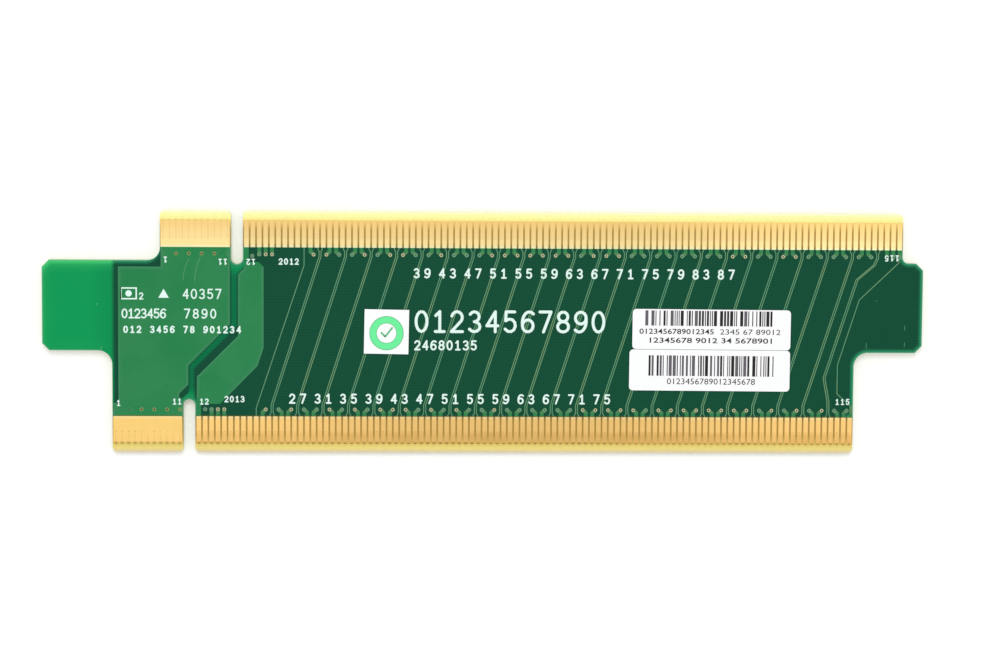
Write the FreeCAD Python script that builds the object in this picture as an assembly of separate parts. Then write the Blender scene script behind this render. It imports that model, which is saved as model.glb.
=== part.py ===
"""Passive riser card for a server board: a rigid laminated circuit card with a
double-sided edge connector along both long edges.

The card lies on its back: X runs along the connectors, Y across the card from the
lower connector to the upper one, and Z up, out of the front. The origin is under
the middle of the card. All sizes are in millimetres.

From back to front the card is a stack: outer copper, a resin-bonded glass layer,
an inner copper plane, the core, an inner plane, a glass layer and outer copper.
"""

import FreeCAD
import Part
import math
import os

# ---- contacts of the two edge connectors ----
contact_pitch = 1.0          # between contacts, along X
small_tab_count = 11         # contacts left of the key slot
main_tab_count = 104         # contacts right of the key slot
key_gap_pitches = 3          # pitches between the two contacts beside the key slot
contact_width = 0.72
contact_length = 4.2         # from the edge of the green lacquer to the tip
tip_setback = 0.05           # bare laminate between a contact's tip and the bevel
row_offset = 7.5             # the lower connector sits this far to the left

# ---- outline of the card ----
lacquer_half_height = 13.32  # from the card's middle line to where the contacts start
bevel_length = 1.48          # lead-in along each connector edge
bevel_angle = 20.0
tab_margin = 0.5             # from an outer contact's centre to the side of its tab
tab_corner_radius = 0.7
key_slot_width = 1.9
key_slot_depth = 8.4
left_wing_length = 10.9      # beyond the lower connector's left side
right_wing_length = 3.3      # beyond the upper connector's right side
wing_drop = 2.1              # the wings' upper edge lies this far below the contacts
wing_height = 14.2
wing_chamfer = 1.1
lower_notch_radius = 2.2
upper_left_notch_radius = 2.0
upper_right_notch_radius = 1.0

# ---- layers ----
copper_thickness = 0.045     # outer copper with its plating
glass_thickness = 0.24       # each outer glass layer
plane_thickness = 0.035      # inner copper planes
core_thickness = 1.0

# ---- inner planes ----
plane_pullback = 0.35        # from the card's edge to the copper inside it
plane_split = 1.05           # across the gap between the supply and ground planes

# ---- copper areas that carry the supply and its return ----
pad_overhang = 0.4           # a supply pad runs past its outer contacts' centres
supply_side_margin = 0.95    # from the tab's left side to the supply area
supply_top_margin = 1.0      # from the wing's upper edge to the supply area
shoulder_height = 2.1        # of the wider strip behind the lower supply pad
slant_height = 1.2           # where the supply area's right side starts to slant
slot_clearance = 0.6         # copper keeps this far from the lower key slot's side
slot_step = 0.3              # the slanted corner starts this far past the slot's end
lower_channel_offset = -0.13 # supply area's right side, from the lower slot's centre
return_left_upper = 0.17     # return area's left side, from the upper slot's centre
return_left_lower = 1.23     # and from the lower slot's centre
return_slant_height = -0.6
return_top = 2.32            # from the upper contacts to the return area
return_corner = 0.75
return_width = 4.0
return_knee = -2.5           # the right side leans in from this height
return_lean = (0.95, 2.85)   # how far the leaning stretch goes left and down
return_reach = 1.97          # from the lower contacts to the return area
return_foot = 3.6            # its width there
first_return_contact = 12    # the contact that the return area joins

# ---- signal traces ----
trace_width = 0.14
pair_spacing = 0.31          # between the two traces of a pair
root_spacing = 0.9           # between them where they leave their contacts
pair_count = 23
pair_repeat = 4              # contacts from one pair to the next
first_front_pair = 23        # the first pair uses this contact and the next
first_back_pair = 21
neck_length = 0.6            # over which a pair closes up behind its contacts
upper_bend = 1.4             # from the upper contacts to the start of the slant
lower_bend = 1.85            # from the lower contacts to its end
single_contact = 21          # this contact has a trace of its own on the front
single_upper_bend = 2.8
single_lower_bend = 1.3
# the last pair and the last contact's trace keep clear of the notch beside the lower
# tab; (x, distance) pairs, from the upper contacts down and the lower contacts up
detour_upper = ((0.0, 0.6), (0.0, 1.3), (-0.5, 2.4), (-3.2, 4.7))
detour_lower = ((-0.7, 6.3), (0.0, 2.5), (0.0, 0.6))
end_upper = ((-0.1, 2.0), (-6.3, 7.9))
end_lower = ((-2.1, 8.4), (-2.1, 3.8))

# ---- ground stubs behind the contacts ----
stub_width = 0.6
stub_overrun = 0.22          # a stub ends this far past the middle of its via
via_reach = 1.12             # from the contacts to the row of vias
via_shift = 0.5              # a stub's slanted end leans this far over to its via
straight_stubs = (14, 15, 16)          # contacts whose stubs don't lean
end_strip_width = 0.4        # of the strip at the last lower contact
end_strip_reach = 1.8

# ---- paper labels on the front ----
label_thickness = 0.1
label_corner_radius = 0.6
serial_label_length = 25.1
serial_label_height = 6.35
stock_label_length = 25.5
stock_label_height = 6.5
label_gap = 0.06             # between the two white labels
label_tilt = -0.35           # degrees: the labels are stuck on by hand
serial_label_x = 74.8        # from the upper key slot to the middle of the label
serial_label_y = 0.64
stock_label_x = 74.55
inspection_label_size = 7.0
inspection_label_x = 23.45
inspection_label_y = 0.12
inspection_label_tilt = -0.9

# ---- places that follow from the sizes above ----
key_half_gap = key_gap_pitches * contact_pitch / 2
half_height = lacquer_half_height + contact_length + tip_setback + bevel_length
upper_left = -key_half_gap - (small_tab_count - 1) * contact_pitch - tab_margin
upper_right = key_half_gap + (main_tab_count - 1) * contact_pitch + tab_margin
lower_left = upper_left - row_offset
lower_right = upper_right - row_offset
left_end = lower_left - left_wing_length
right_end = upper_right + right_wing_length
wing_top = lacquer_half_height - wing_drop
wing_bottom = wing_top - wing_height
x_shift = -(left_end + right_end) / 2      # brings the card's middle to X = 0

back_glass_z = copper_thickness
core_z = back_glass_z + glass_thickness
core_top = core_z + core_thickness
front_copper_z = core_top + glass_thickness
front_top = front_copper_z + copper_thickness
lamination = front_copper_z - back_glass_z
last_contact = small_tab_count + main_tab_count


def point(x, y, z=0.0):
    """A point, with x measured from the upper key slot."""
    return FreeCAD.Vector(x + x_shift, y, z)


def contact_x(number, row):
    """Centre of a contact. row is +1 for the upper connector, -1 for the lower."""
    base = 0.0 if row > 0 else -row_offset
    if number <= small_tab_count:
        return base - key_half_gap - (small_tab_count - number) * contact_pitch
    return base + key_half_gap + (number - small_tab_count - 1) * contact_pitch


# ---- shapes shared by several pieces ----

def plate(corners, z, thickness):
    """A flat plate from its corner points."""
    points = [point(x, y, z) for x, y in corners]
    face = Part.Face(Part.makePolygon(points + points[:1]))
    return face.extrude(FreeCAD.Vector(0, 0, thickness))


def rounded_plate(corners, z, thickness):
    """A flat plate whose corners are (x, y, radius), rounded inwards or outwards."""
    edges = []
    start = None
    first = None
    count = len(corners)
    for i, (x, y, radius) in enumerate(corners):
        here = point(x, y, z)
        before = point(*corners[i - 1][:2], z)
        after = point(*corners[(i + 1) % count][:2], z)
        to_before = (before - here).normalize()
        to_after = (after - here).normalize()
        if radius > 0:
            half = to_before.getAngle(to_after) / 2
            reach = radius / math.tan(half)
            middle = (to_before + to_after).normalize()
            arc_start = here + to_before * reach
            arc_end = here + to_after * reach
            arc_middle = here + middle * (radius / math.sin(half) - radius)
        else:
            arc_start = arc_end = here
        if start is not None:
            edges.append(Part.LineSegment(start, arc_start).toShape())
        else:
            first = arc_start
        if radius > 0:
            edges.append(Part.Arc(arc_start, arc_middle, arc_end).toShape())
        start = arc_end
    edges.append(Part.LineSegment(start, first).toShape())
    face = Part.Face(Part.Wire(edges))
    return face.extrude(FreeCAD.Vector(0, 0, thickness))


def mitre(before, here, after, half_width):
    """The corner of a strip's side, where two straight runs meet."""
    a = FreeCAD.Vector(here[0] - before[0], here[1] - before[1], 0).normalize()
    b = FreeCAD.Vector(after[0] - here[0], after[1] - here[1], 0).normalize()
    side_a = FreeCAD.Vector(-a.y, a.x, 0)
    side_b = FreeCAD.Vector(-b.y, b.x, 0)
    across = (side_a + side_b).normalize()
    reach = half_width / across.dot(side_a)
    return (here[0] + across.x * reach, here[1] + across.y * reach)


def strip_side(route, half_width, flush_start, flush_end):
    """One side of a strip. A flush end is cut level, along X, and not square."""
    side = []
    for end, beyond, flush in ((0, 1, flush_start), (-1, -2, flush_end)):
        here, other = route[end], route[beyond]
        sign = 1 if end == 0 else -1
        run = FreeCAD.Vector(other[0] - here[0], other[1] - here[1], 0).normalize()
        normal = FreeCAD.Vector(-run.y, run.x, 0) * sign
        if flush:
            offset = (half_width / normal.x, 0.0)
        else:
            offset = (normal.x * half_width, normal.y * half_width)
        side.append((here[0] + offset[0], here[1] + offset[1]))
    corners = [
        mitre(route[i - 1], route[i], route[i + 1], half_width)
        for i in range(1, len(route) - 1)
    ]
    return [side[0]] + corners + [side[1]]


def strip(route, width, z, flush_start=True, flush_end=True):
    """A copper strip of constant width along a route of straight runs."""
    left = strip_side(route, width / 2, flush_start, flush_end)
    right = strip_side(route, -width / 2, flush_start, flush_end)
    return plate(left + right[::-1], z, copper_thickness)


# ---- the laminated board ----

def key_slot(row, z, thickness):
    """The gap between two tabs: straight sides, a round end and rounded lips."""
    centre = 0.0 if row > 0 else -row_offset
    half = key_slot_width / 2
    lip = tab_corner_radius
    mouth = half_height + 1.0
    slant = lip * (1 - math.sqrt(0.5))

    def at(x, y):
        return point(centre + x, row * y, z)

    end_y = half_height - key_slot_depth + half
    lip_y = half_height - lip
    edges = [
        Part.LineSegment(at(-half - lip, mouth), at(-half - lip, half_height)),
        Part.Arc(at(-half - lip, half_height), at(-half - slant, half_height - slant),
                 at(-half, lip_y)),
        Part.LineSegment(at(-half, lip_y), at(-half, end_y)),
        Part.Arc(at(-half, end_y), at(0, end_y - half), at(half, end_y)),
        Part.LineSegment(at(half, end_y), at(half, lip_y)),
        Part.Arc(at(half, lip_y), at(half + slant, half_height - slant),
                 at(half + lip, half_height)),
        Part.LineSegment(at(half + lip, half_height), at(half + lip, mouth)),
        Part.LineSegment(at(half + lip, mouth), at(-half - lip, mouth)),
    ]
    face = Part.Face(Part.Wire([edge.toShape() for edge in edges]))
    return face.extrude(FreeCAD.Vector(0, 0, thickness))


def bevel_cutter(row, front):
    """What a bevelling cutter takes off one face along one connector edge."""
    slope = math.tan(math.radians(bevel_angle))
    start = half_height - bevel_length
    reach = bevel_length + 1.0
    face_z = front_copper_z if front else back_glass_z
    out = 1 if front else -1
    profile = [
        (start, face_z),
        (start + reach, face_z - out * slope * reach),
        (start + reach, face_z + out),
        (start, face_z + out),
    ]
    points = [FreeCAD.Vector(left_end + x_shift - 1, row * y, z) for y, z in profile]
    face = Part.Face(Part.makePolygon(points + points[:1]))
    return face.extrude(FreeCAD.Vector(right_end - left_end + 2, 0, 0))


def board_blank():
    """The whole lamination with its outline, key slots and bevels."""
    corner = tab_corner_radius
    cut = wing_chamfer
    outline = [
        (left_end, wing_bottom + cut, 0),
        (left_end + cut, wing_bottom, 0),
        (lower_left, wing_bottom, lower_notch_radius),
        (lower_left, -half_height, corner),
        (lower_right, -half_height, corner),
        (lower_right, wing_bottom, lower_notch_radius),
        (right_end - cut, wing_bottom, 0),
        (right_end, wing_bottom + cut, 0),
        (right_end, wing_top - cut, 0),
        (right_end - cut, wing_top, 0),
        (upper_right, wing_top, upper_right_notch_radius),
        (upper_right, half_height, corner),
        (upper_left, half_height, corner),
        (upper_left, wing_top, upper_left_notch_radius),
        (left_end + cut, wing_top, 0),
        (left_end, wing_top - cut, 0),
    ]
    blank = rounded_plate(outline, back_glass_z, lamination)
    for row in (1, -1):
        blank = blank.cut(key_slot(row, back_glass_z - 1, lamination + 2))
        for front in (True, False):
            blank = blank.cut(bevel_cutter(row, front))
    return blank


def layer(blank, z, thickness):
    """The part of the lamination between two levels."""
    length = right_end - left_end + 2
    slab = Part.makeBox(length, 2 * half_height + 2, thickness,
                        FreeCAD.Vector(-length / 2, -half_height - 1, z))
    return blank.common(slab)


# ---- the supply path: inner planes and the copper areas on both faces ----

supply_right_upper = contact_x(small_tab_count, 1) + pad_overhang
supply_right_lower = -row_offset + lower_channel_offset
slot_end = half_height - key_slot_depth
contact_root = lacquer_half_height


def supply_plane(z):
    """The inner plane under the supply area, which it follows on its right side."""
    edge = plane_pullback
    upper_slot_side = -key_slot_width / 2 - edge
    lower_slot_side = -row_offset - key_slot_width / 2 - edge
    foot = contact_root - edge
    corners = [
        (lower_left + edge, -foot),
        (lower_slot_side, -foot),
        (lower_slot_side, -slot_end),
        (supply_right_lower, -slot_end + supply_right_lower - lower_slot_side),
        (supply_right_lower, slant_height - supply_right_upper + supply_right_lower),
        (supply_right_upper, slant_height),
        (supply_right_upper, slot_end - edge),
        (upper_slot_side, slot_end),
        (upper_slot_side, foot),
        (upper_left + edge, foot),
        (upper_left + edge, wing_top - edge),
        (lower_left + edge, wing_top - edge),
    ]
    return plate(corners, z, plane_thickness)


def ground_plane(z):
    """The inner plane right of the split, out to the card's right-hand end."""
    edge = plane_pullback
    cut = wing_chamfer
    upper_slot_side = key_slot_width / 2 + edge
    lower_slot_side = -row_offset + key_slot_width / 2 + edge
    foot = contact_root - edge
    left = return_left_upper
    low_left = supply_right_lower + plane_split
    slant = slant_height - supply_right_upper - plane_split * math.sqrt(2)
    corners = [
        (lower_slot_side, -foot),
        (lower_right - edge, -foot),
        (lower_right - edge, wing_bottom + edge),
        (right_end - cut, wing_bottom + edge),
        (right_end - edge, wing_bottom + cut),
        (right_end - edge, wing_top - cut),
        (right_end - cut, wing_top - edge),
        (upper_right - edge, wing_top - edge),
        (upper_right - edge, foot),
        (upper_slot_side, foot),
        (upper_slot_side, slot_end - edge),
        (left, slot_end - edge - (upper_slot_side - left)),
        (left, slant + left),
        (low_left, slant + low_left),
        (low_left, -slot_end),
        (lower_slot_side, -slot_end),
    ]
    return plate(corners, z, plane_thickness)


def supply_copper(z):
    """The supply's copper on one face: a pad for each small tab, and what joins them."""
    upper_pad_left = contact_x(1, 1) - pad_overhang
    lower_pad_left = contact_x(1, -1) - pad_overhang
    lower_pad_right = contact_x(small_tab_count, -1) + pad_overhang
    slot_side = -row_offset - key_slot_width / 2 - slot_clearance
    tip = contact_root + contact_length
    left = lower_left + supply_side_margin
    top = wing_top - supply_top_margin
    shoulder = -contact_root + shoulder_height
    slot_corner = -slot_end + slot_clearance + slot_step
    corners = [
        (lower_pad_left, -tip),
        (lower_pad_right, -tip),
        (lower_pad_right, -slot_end),
        (slot_side, -slot_end + slot_step),
        (slot_side, slot_corner),
        (supply_right_lower, slot_corner + supply_right_lower - slot_side),
        (supply_right_lower, slant_height - supply_right_upper + supply_right_lower),
        (supply_right_upper, slant_height),
        (supply_right_upper, tip),
        (upper_pad_left, tip),
        (upper_pad_left, top),
        (left, top),
        (left, shoulder),
        (lower_pad_left, shoulder),
    ]
    return plate(corners, z, copper_thickness)


def return_copper(z):
    """The return's copper on one face, which joins the first contact of each main tab."""
    upper_contact = contact_x(first_return_contact, 1)
    lower_contact = contact_x(first_return_contact, -1)
    half = contact_width / 2
    left = return_left_upper
    low_left = -row_offset + return_left_lower
    right = left + return_width
    top = contact_root - return_top
    foot = -contact_root + return_reach
    slant = return_slant_height - left
    lean_x = right - return_lean[0]
    lean_y = return_knee - return_lean[1]
    foot_right = low_left + return_foot
    corners = [
        (lower_contact - half, -contact_root),
        (lower_contact + half, -contact_root),
        (lower_contact + half, foot),
        (foot_right, foot),
        (lean_x, lean_y),
        (right, return_knee),
        (right, top - return_corner),
        (right - return_corner, top),
        (upper_contact + half, top),
        (upper_contact + half, contact_root),
        (upper_contact - half, contact_root),
        (upper_contact - half, top - (upper_contact - half - left)),
        (left, top - 2 * (upper_contact - half - left)),
        (left, slant + left),
        (low_left, slant + low_left),
        (lower_contact - half, foot),
    ]
    return plate(corners, z, copper_thickness)


# ---- contacts, traces and stubs ----

# the strip at the last lower contact is flush with that contact's right side
end_strip_x = contact_x(last_contact, -1) + (contact_width - end_strip_width) / 2


def contacts(row, z):
    """The row of separate contacts on one face of a main tab."""
    first = small_tab_count + 1
    fingers = []
    for number in range(first, last_contact + 1):
        left = contact_x(number, row) - contact_width / 2
        right = left + contact_width
        root = row * contact_root
        tip = row * (contact_root + contact_length)
        corners = [(left, root), (right, root), (right, tip), (left, tip)]
        fingers.append(plate(corners, z, copper_thickness))
    return Part.makeCompound(fingers)


def pair_traces(pair, first_contact, neck, z):
    """The two traces of one differential pair, from the upper contacts to the lower.

    A neck is where the pair closes up quickly, before it runs straight to its bend.
    """
    number = first_contact + pair * pair_repeat
    upper = (contact_x(number, 1) + contact_x(number + 1, 1)) / 2
    lower = (contact_x(number, -1) + contact_x(number + 1, -1)) / 2
    root = contact_root
    traces = []
    for side in (-1, 1):
        near = side * pair_spacing / 2
        wide = side * root_spacing / 2
        route = [(upper + near, root - upper_bend), (lower + near, -root + lower_bend)]
        if neck > 0:
            route.insert(0, (upper + near, root - neck))
            route.append((lower + near, -root + neck))
        route.insert(0, (upper + wide, root))
        route.append((lower + wide, -root))
        traces.append(strip(route, trace_width, z))
    return traces


def detoured_route(number, shift, upper_run, lower_run, upper_start, lower_end):
    """A route given by its bends, shifted sideways."""
    upper = contact_x(number, 1) + shift
    lower = contact_x(number, -1) + shift
    route = [upper_start]
    route += [(upper + x, contact_root - drop) for x, drop in upper_run]
    route += [(lower + x, -contact_root + rise) for x, rise in lower_run]
    return route + [lower_end]


def front_traces(z):
    """Every trace on the front: the fan of slanted pairs and the odd ones."""
    root = contact_root
    traces = []
    for pair in range(pair_count - 1):
        traces += pair_traces(pair, first_front_pair, neck_length, z)

    number = first_front_pair + (pair_count - 1) * pair_repeat
    middle = contact_pitch / 2
    for side in (-1, 1):
        shift = middle + side * pair_spacing / 2
        wide = middle + side * root_spacing / 2
        route = detoured_route(
            number, shift, detour_upper, detour_lower,
            (contact_x(number, 1) + wide, root), (contact_x(number, -1) + wide, -root))
        traces.append(strip(route, trace_width, z))

    upper = contact_x(single_contact, 1)
    lower = contact_x(single_contact, -1)
    route = [(upper, root), (upper, root - single_upper_bend),
             (lower, -root + single_lower_bend), (lower, -root)]
    traces.append(strip(route, trace_width, z))

    stub_end = root - via_reach - stub_overrun
    strip_end = root - end_strip_reach
    route = detoured_route(
        last_contact, 0.0, end_upper, end_lower,
        (contact_x(last_contact, 1), stub_end), (end_strip_x, -strip_end))
    traces.append(strip(route, trace_width, z))
    return Part.makeCompound(traces)


def back_traces(z):
    """The fan of slanted pairs on the back, two contacts further left, with no necks."""
    traces = []
    for pair in range(pair_count):
        traces += pair_traces(pair, first_back_pair, 0.0, z)
    return Part.makeCompound(traces)


def stub(number, row, lean, z):
    """A short strip from a ground contact to its via: straight, then slanted if it leans."""
    x = contact_x(number, row)
    end = via_reach + stub_overrun
    route = [(x, row * contact_root)]
    if lean:
        knee = via_reach - via_shift
        slant = via_shift + stub_overrun * math.sqrt(0.5)
        route.append((x, row * (contact_root - knee)))
        route.append((x + lean * slant, row * (contact_root - knee - slant)))
    else:
        route.append((x, row * (contact_root - end)))
    return strip(route, stub_width, z, flush_end=not lean)


def pair_stubs(first_pair, row, z):
    """The stubs of one row, which lean towards the pair that they stand beside."""
    stubs = []
    for pair in range(pair_count):
        number = first_pair + pair * pair_repeat
        stubs.append(stub(number - 1, row, 1, z))
        stubs.append(stub(number + 2, row, -1, z))
    return stubs


def front_stubs(z):
    """Every stub on the front: those of the pairs and the odd ones at the rows' ends."""
    stubs = pair_stubs(first_front_pair, 1, z)[:-1] + pair_stubs(first_front_pair, -1, z)
    for number in straight_stubs:
        stubs += [stub(number, 1, 0, z), stub(number, -1, 0, z)]
    for number in (last_contact - 2, last_contact - 1, last_contact):
        stubs.append(stub(number, 1, 0, z))
    stubs.append(stub(last_contact - 1, -1, 1, z))
    route = [(end_strip_x, -contact_root), (end_strip_x, -contact_root + end_strip_reach)]
    stubs.append(strip(route, end_strip_width, z))
    return Part.makeCompound(stubs)


def back_stubs(z):
    """The stubs on the back, all beside pairs."""
    stubs = pair_stubs(first_back_pair, 1, z) + pair_stubs(first_back_pair, -1, z)
    return Part.makeCompound(stubs)


# ---- labels ----

def label(centre_x, centre_y, length, height, corner, tilt):
    """A paper label that lies on the traces. Its corners may be square."""
    angle = math.radians(tilt)
    corners = []
    for across, up in ((-1, -1), (1, -1), (1, 1), (-1, 1)):
        x = across * length / 2
        y = up * height / 2
        corners.append((centre_x + x * math.cos(angle) - y * math.sin(angle),
                        centre_y + x * math.sin(angle) + y * math.cos(angle), corner))
    return rounded_plate(corners, front_top, label_thickness)


# ---- the pieces ----

blank = board_blank()
front_plane_z = core_top
back_plane_z = core_z - plane_thickness
back_copper_z = 0.0

pieces = {
    "core_laminate": layer(blank, core_z, core_thickness),
    "front_supply_plane": supply_plane(front_plane_z),
    "front_ground_plane": ground_plane(front_plane_z),
    "back_supply_plane": supply_plane(back_plane_z),
    "back_ground_plane": ground_plane(back_plane_z),
}

front_layer = layer(blank, core_top, glass_thickness)
for name in ("front_supply_plane", "front_ground_plane"):
    front_layer = front_layer.cut(pieces[name])
pieces["front_glass_layer"] = front_layer

back_layer = layer(blank, back_glass_z, glass_thickness)
for name in ("back_supply_plane", "back_ground_plane"):
    back_layer = back_layer.cut(pieces[name])
pieces["back_glass_layer"] = back_layer

for face, z in (("front", front_copper_z), ("back", back_copper_z)):
    pieces["upper_" + face + "_contacts"] = contacts(1, z)
    pieces["lower_" + face + "_contacts"] = contacts(-1, z)
    pieces[face + "_supply_copper"] = supply_copper(z)
    pieces[face + "_return_copper"] = return_copper(z)
pieces["front_signal_traces"] = front_traces(front_copper_z)
pieces["back_signal_traces"] = back_traces(back_copper_z)
pieces["front_ground_stubs"] = front_stubs(front_copper_z)
pieces["back_ground_stubs"] = back_stubs(back_copper_z)

stock_label_y = serial_label_y - (serial_label_height + stock_label_height) / 2 - label_gap
pieces["serial_label"] = label(serial_label_x, serial_label_y, serial_label_length,
                               serial_label_height, label_corner_radius, label_tilt)
pieces["stock_label"] = label(stock_label_x, stock_label_y, stock_label_length,
                              stock_label_height, label_corner_radius, label_tilt)
pieces["inspection_label"] = label(inspection_label_x, inspection_label_y,
                                   inspection_label_size, inspection_label_size,
                                   0.0, inspection_label_tilt)

os.makedirs("parts", exist_ok=True)
for name, shape in pieces.items():
    shape.exportStep("parts/" + name + ".step")
    print(name, len(shape.Solids), round(shape.Volume, 3), shape.isValid())
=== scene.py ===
"""The looks of a passive riser card: a bare circuit card with gold edge contacts.

The card lies on its back on a white table and is seen from above. X runs along its
connectors, Y across it and Z up, out of its labelled front. Blender's lengths are in
metres; places on the card are written in millimetres, and MM turns them into metres.
"""

import math
import random

import bpy
from mathutils import Matrix, Vector


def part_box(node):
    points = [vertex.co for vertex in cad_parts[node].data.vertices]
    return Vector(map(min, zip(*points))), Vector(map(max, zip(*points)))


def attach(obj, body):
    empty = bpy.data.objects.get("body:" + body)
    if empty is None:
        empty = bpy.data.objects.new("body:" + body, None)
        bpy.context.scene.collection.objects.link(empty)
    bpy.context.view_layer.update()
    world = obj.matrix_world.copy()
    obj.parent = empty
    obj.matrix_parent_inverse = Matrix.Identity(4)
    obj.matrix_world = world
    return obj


MM = 0.001

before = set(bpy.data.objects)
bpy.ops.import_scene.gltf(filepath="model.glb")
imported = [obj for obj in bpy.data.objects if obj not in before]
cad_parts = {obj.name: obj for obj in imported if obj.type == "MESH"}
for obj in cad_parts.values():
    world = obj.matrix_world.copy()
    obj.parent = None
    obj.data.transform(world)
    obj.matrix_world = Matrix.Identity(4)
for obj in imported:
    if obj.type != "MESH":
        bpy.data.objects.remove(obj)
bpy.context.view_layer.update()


# ---- the camera: straight above the card, a little beyond its upper edge.

bpy.ops.object.camera_add(location=(-13.378 * MM, 30.713 * MM, 399.553 * MM),
                          rotation=(-0.078049, -0.039033, 0.006669))
camera = bpy.context.object
camera.data.sensor_width = 36.0
camera.data.lens = 91.247
bpy.context.scene.camera = camera


# ---- the laminate: glass cloth and resin, coated with green lacquer between the
# connectors. Inner copper shows through the lacquer as a dark field. Laminate with no
# copper in it lets light through and is bright, most of all at its cut edges.

def paint(red, green, blue):
    """A colour as a screen shows it, 0 to 255, as the linear colour that Blender takes."""
    linear = []
    for value in (red, green, blue):
        value = value / 255
        linear.append(value / 12.92 if value <= 0.04045 else ((value + 0.055) / 1.055) ** 2.4)
    return (*linear, 1.0)


def new_material(name, roughness, gloss=0.5, metallic=0.0):
    """A node material with its shader's plain values set."""
    material = bpy.data.materials.new(name)
    material.use_nodes = True
    shader = material.node_tree.nodes["Principled BSDF"]
    shader.inputs["Roughness"].default_value = roughness
    shader.inputs["Specular IOR Level"].default_value = gloss
    shader.inputs["Metallic"].default_value = metallic
    return material


def set_material(piece, *materials):
    """The piece's materials, in the order of its slots."""
    piece.data.materials.clear()
    for material in materials:
        piece.data.materials.append(material)


def dress(material, *names):
    """One material for several solids of the frame."""
    for name in names:
        set_material(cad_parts[name], material)


def math_node(tree, operation, *values):
    """A Math node on sockets or numbers."""
    node = tree.nodes.new("ShaderNodeMath")
    node.operation = operation
    for socket, value in zip(node.inputs, values):
        if isinstance(value, (int, float)):
            socket.default_value = value
        else:
            tree.links.new(value, socket)
    return node.outputs[0]


def plus(tree, first, second):
    """The sum of two values."""
    return math_node(tree, "ADD", first, second)


def minus(tree, first, second):
    """The first value less the second."""
    return math_node(tree, "SUBTRACT", first, second)


def times(tree, first, second):
    """The product of two values."""
    return math_node(tree, "MULTIPLY", first, second)


def scaled(tree, value, factor, offset):
    """A value times a factor, plus an offset."""
    return math_node(tree, "MULTIPLY_ADD", value, factor, offset)


def apart(tree, first, second):
    """How far two values are from each other."""
    return math_node(tree, "ABSOLUTE", math_node(tree, "SUBTRACT", first, second))


def largest(tree, *values):
    """The largest of several values."""
    result = values[0]
    for value in values[1:]:
        result = math_node(tree, "MAXIMUM", result, value)
    return result


def smallest(tree, *values):
    """The smallest of several values."""
    result = values[0]
    for value in values[1:]:
        result = math_node(tree, "MINIMUM", result, value)
    return result


def length_of(tree, across, up):
    """The length of a flat vector."""
    square = times(tree, across, across)
    return math_node(tree, "SQRT", scaled(tree, up, up, square))


def rise(tree, value, low, high):
    """0 at low, 1 at high and smooth between them. High may be below low."""
    node = tree.nodes.new("ShaderNodeMapRange")
    node.interpolation_type = "SMOOTHSTEP"
    node.inputs["From Min"].default_value = min(low, high)
    node.inputs["From Max"].default_value = max(low, high)
    node.inputs["To Min"].default_value = 0.0 if low < high else 1.0
    node.inputs["To Max"].default_value = 1.0 if low < high else 0.0
    tree.links.new(value, node.inputs["Value"])
    return node.outputs["Result"]


def blend(tree, amount, first, second, kind="MIX"):
    """One colour over another. Each is a colour or a socket."""
    node = tree.nodes.new("ShaderNodeMix")
    node.data_type = "RGBA"
    node.blend_type = kind
    for socket, value in zip((node.inputs[0], node.inputs[6], node.inputs[7]),
                             (amount, first, second)):
        if isinstance(value, (int, float, tuple)):
            socket.default_value = value
        else:
            tree.links.new(value, socket)
    return node.outputs[2]


def colour_surface(tree, colour):
    """Gives the shader its colour."""
    tree.links.new(colour, tree.nodes["Principled BSDF"].inputs["Base Color"])


def place_in_mm(tree):
    """The X, Y and Z of the shaded point, in millimetres."""
    coordinates = tree.nodes.new("ShaderNodeTexCoord")
    scale = tree.nodes.new("ShaderNodeVectorMath")
    scale.operation = "SCALE"
    scale.inputs["Scale"].default_value = 1 / MM
    split = tree.nodes.new("ShaderNodeSeparateXYZ")
    tree.links.new(coordinates.outputs["Object"], scale.inputs[0])
    tree.links.new(scale.outputs[0], split.inputs[0])
    return split.outputs


def upper_half(tree, place):
    """1 on the half of the card beside the upper connector, and 0 on the other."""
    return math_node(tree, "GREATER_THAN", place[1], 0.0)


def by_half(tree, upper, at_lower, at_upper):
    """A number that differs between the card's lower and upper half."""
    return math_node(tree, "MULTIPLY_ADD", upper, at_upper - at_lower, at_lower)


def speckle(tree, size, detail=2.0, stretch=(1, 1, 1)):
    """Noise from 0 to 1 with grains of about a size in millimetres."""
    coordinates = tree.nodes.new("ShaderNodeTexCoord")
    mapping = tree.nodes.new("ShaderNodeMapping")
    mapping.inputs["Scale"].default_value = stretch
    noise = tree.nodes.new("ShaderNodeTexNoise")
    noise.inputs["Scale"].default_value = 1 / (size * MM)
    noise.inputs["Detail"].default_value = detail
    tree.links.new(coordinates.outputs["Object"], mapping.inputs[0])
    tree.links.new(mapping.outputs[0], noise.inputs["Vector"])
    return noise.outputs[0]


def shaded(tree, colour, light):
    """A colour made lighter or darker."""
    grey = tree.nodes.new("ShaderNodeCombineColor")
    for socket in grey.inputs:
        tree.links.new(light, socket)
    return blend(tree, 1.0, colour, grey.outputs[0], "MULTIPLY")


def weave(tree, place, pitches=(0.423, 0.438)):
    """The crossed threads of the glass cloth, from -1 to 1."""
    threads = []
    for axis, pitch in enumerate(pitches):
        turns = times(tree, place[axis], 2 * math.pi / pitch)
        threads.append(math_node(tree, "SINE", turns))
    return times(tree, plus(tree, *threads), 0.5)


def cut_side(tree):
    """1 on a sheet's cut edge and 0 on its faces."""
    coordinates = tree.nodes.new("ShaderNodeTexCoord")
    split = tree.nodes.new("ShaderNodeSeparateXYZ")
    tree.links.new(coordinates.outputs["Normal"], split.inputs[0])
    return rise(tree, math_node(tree, "ABSOLUTE", split.outputs[2]), 0.6, 0.4)


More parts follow.
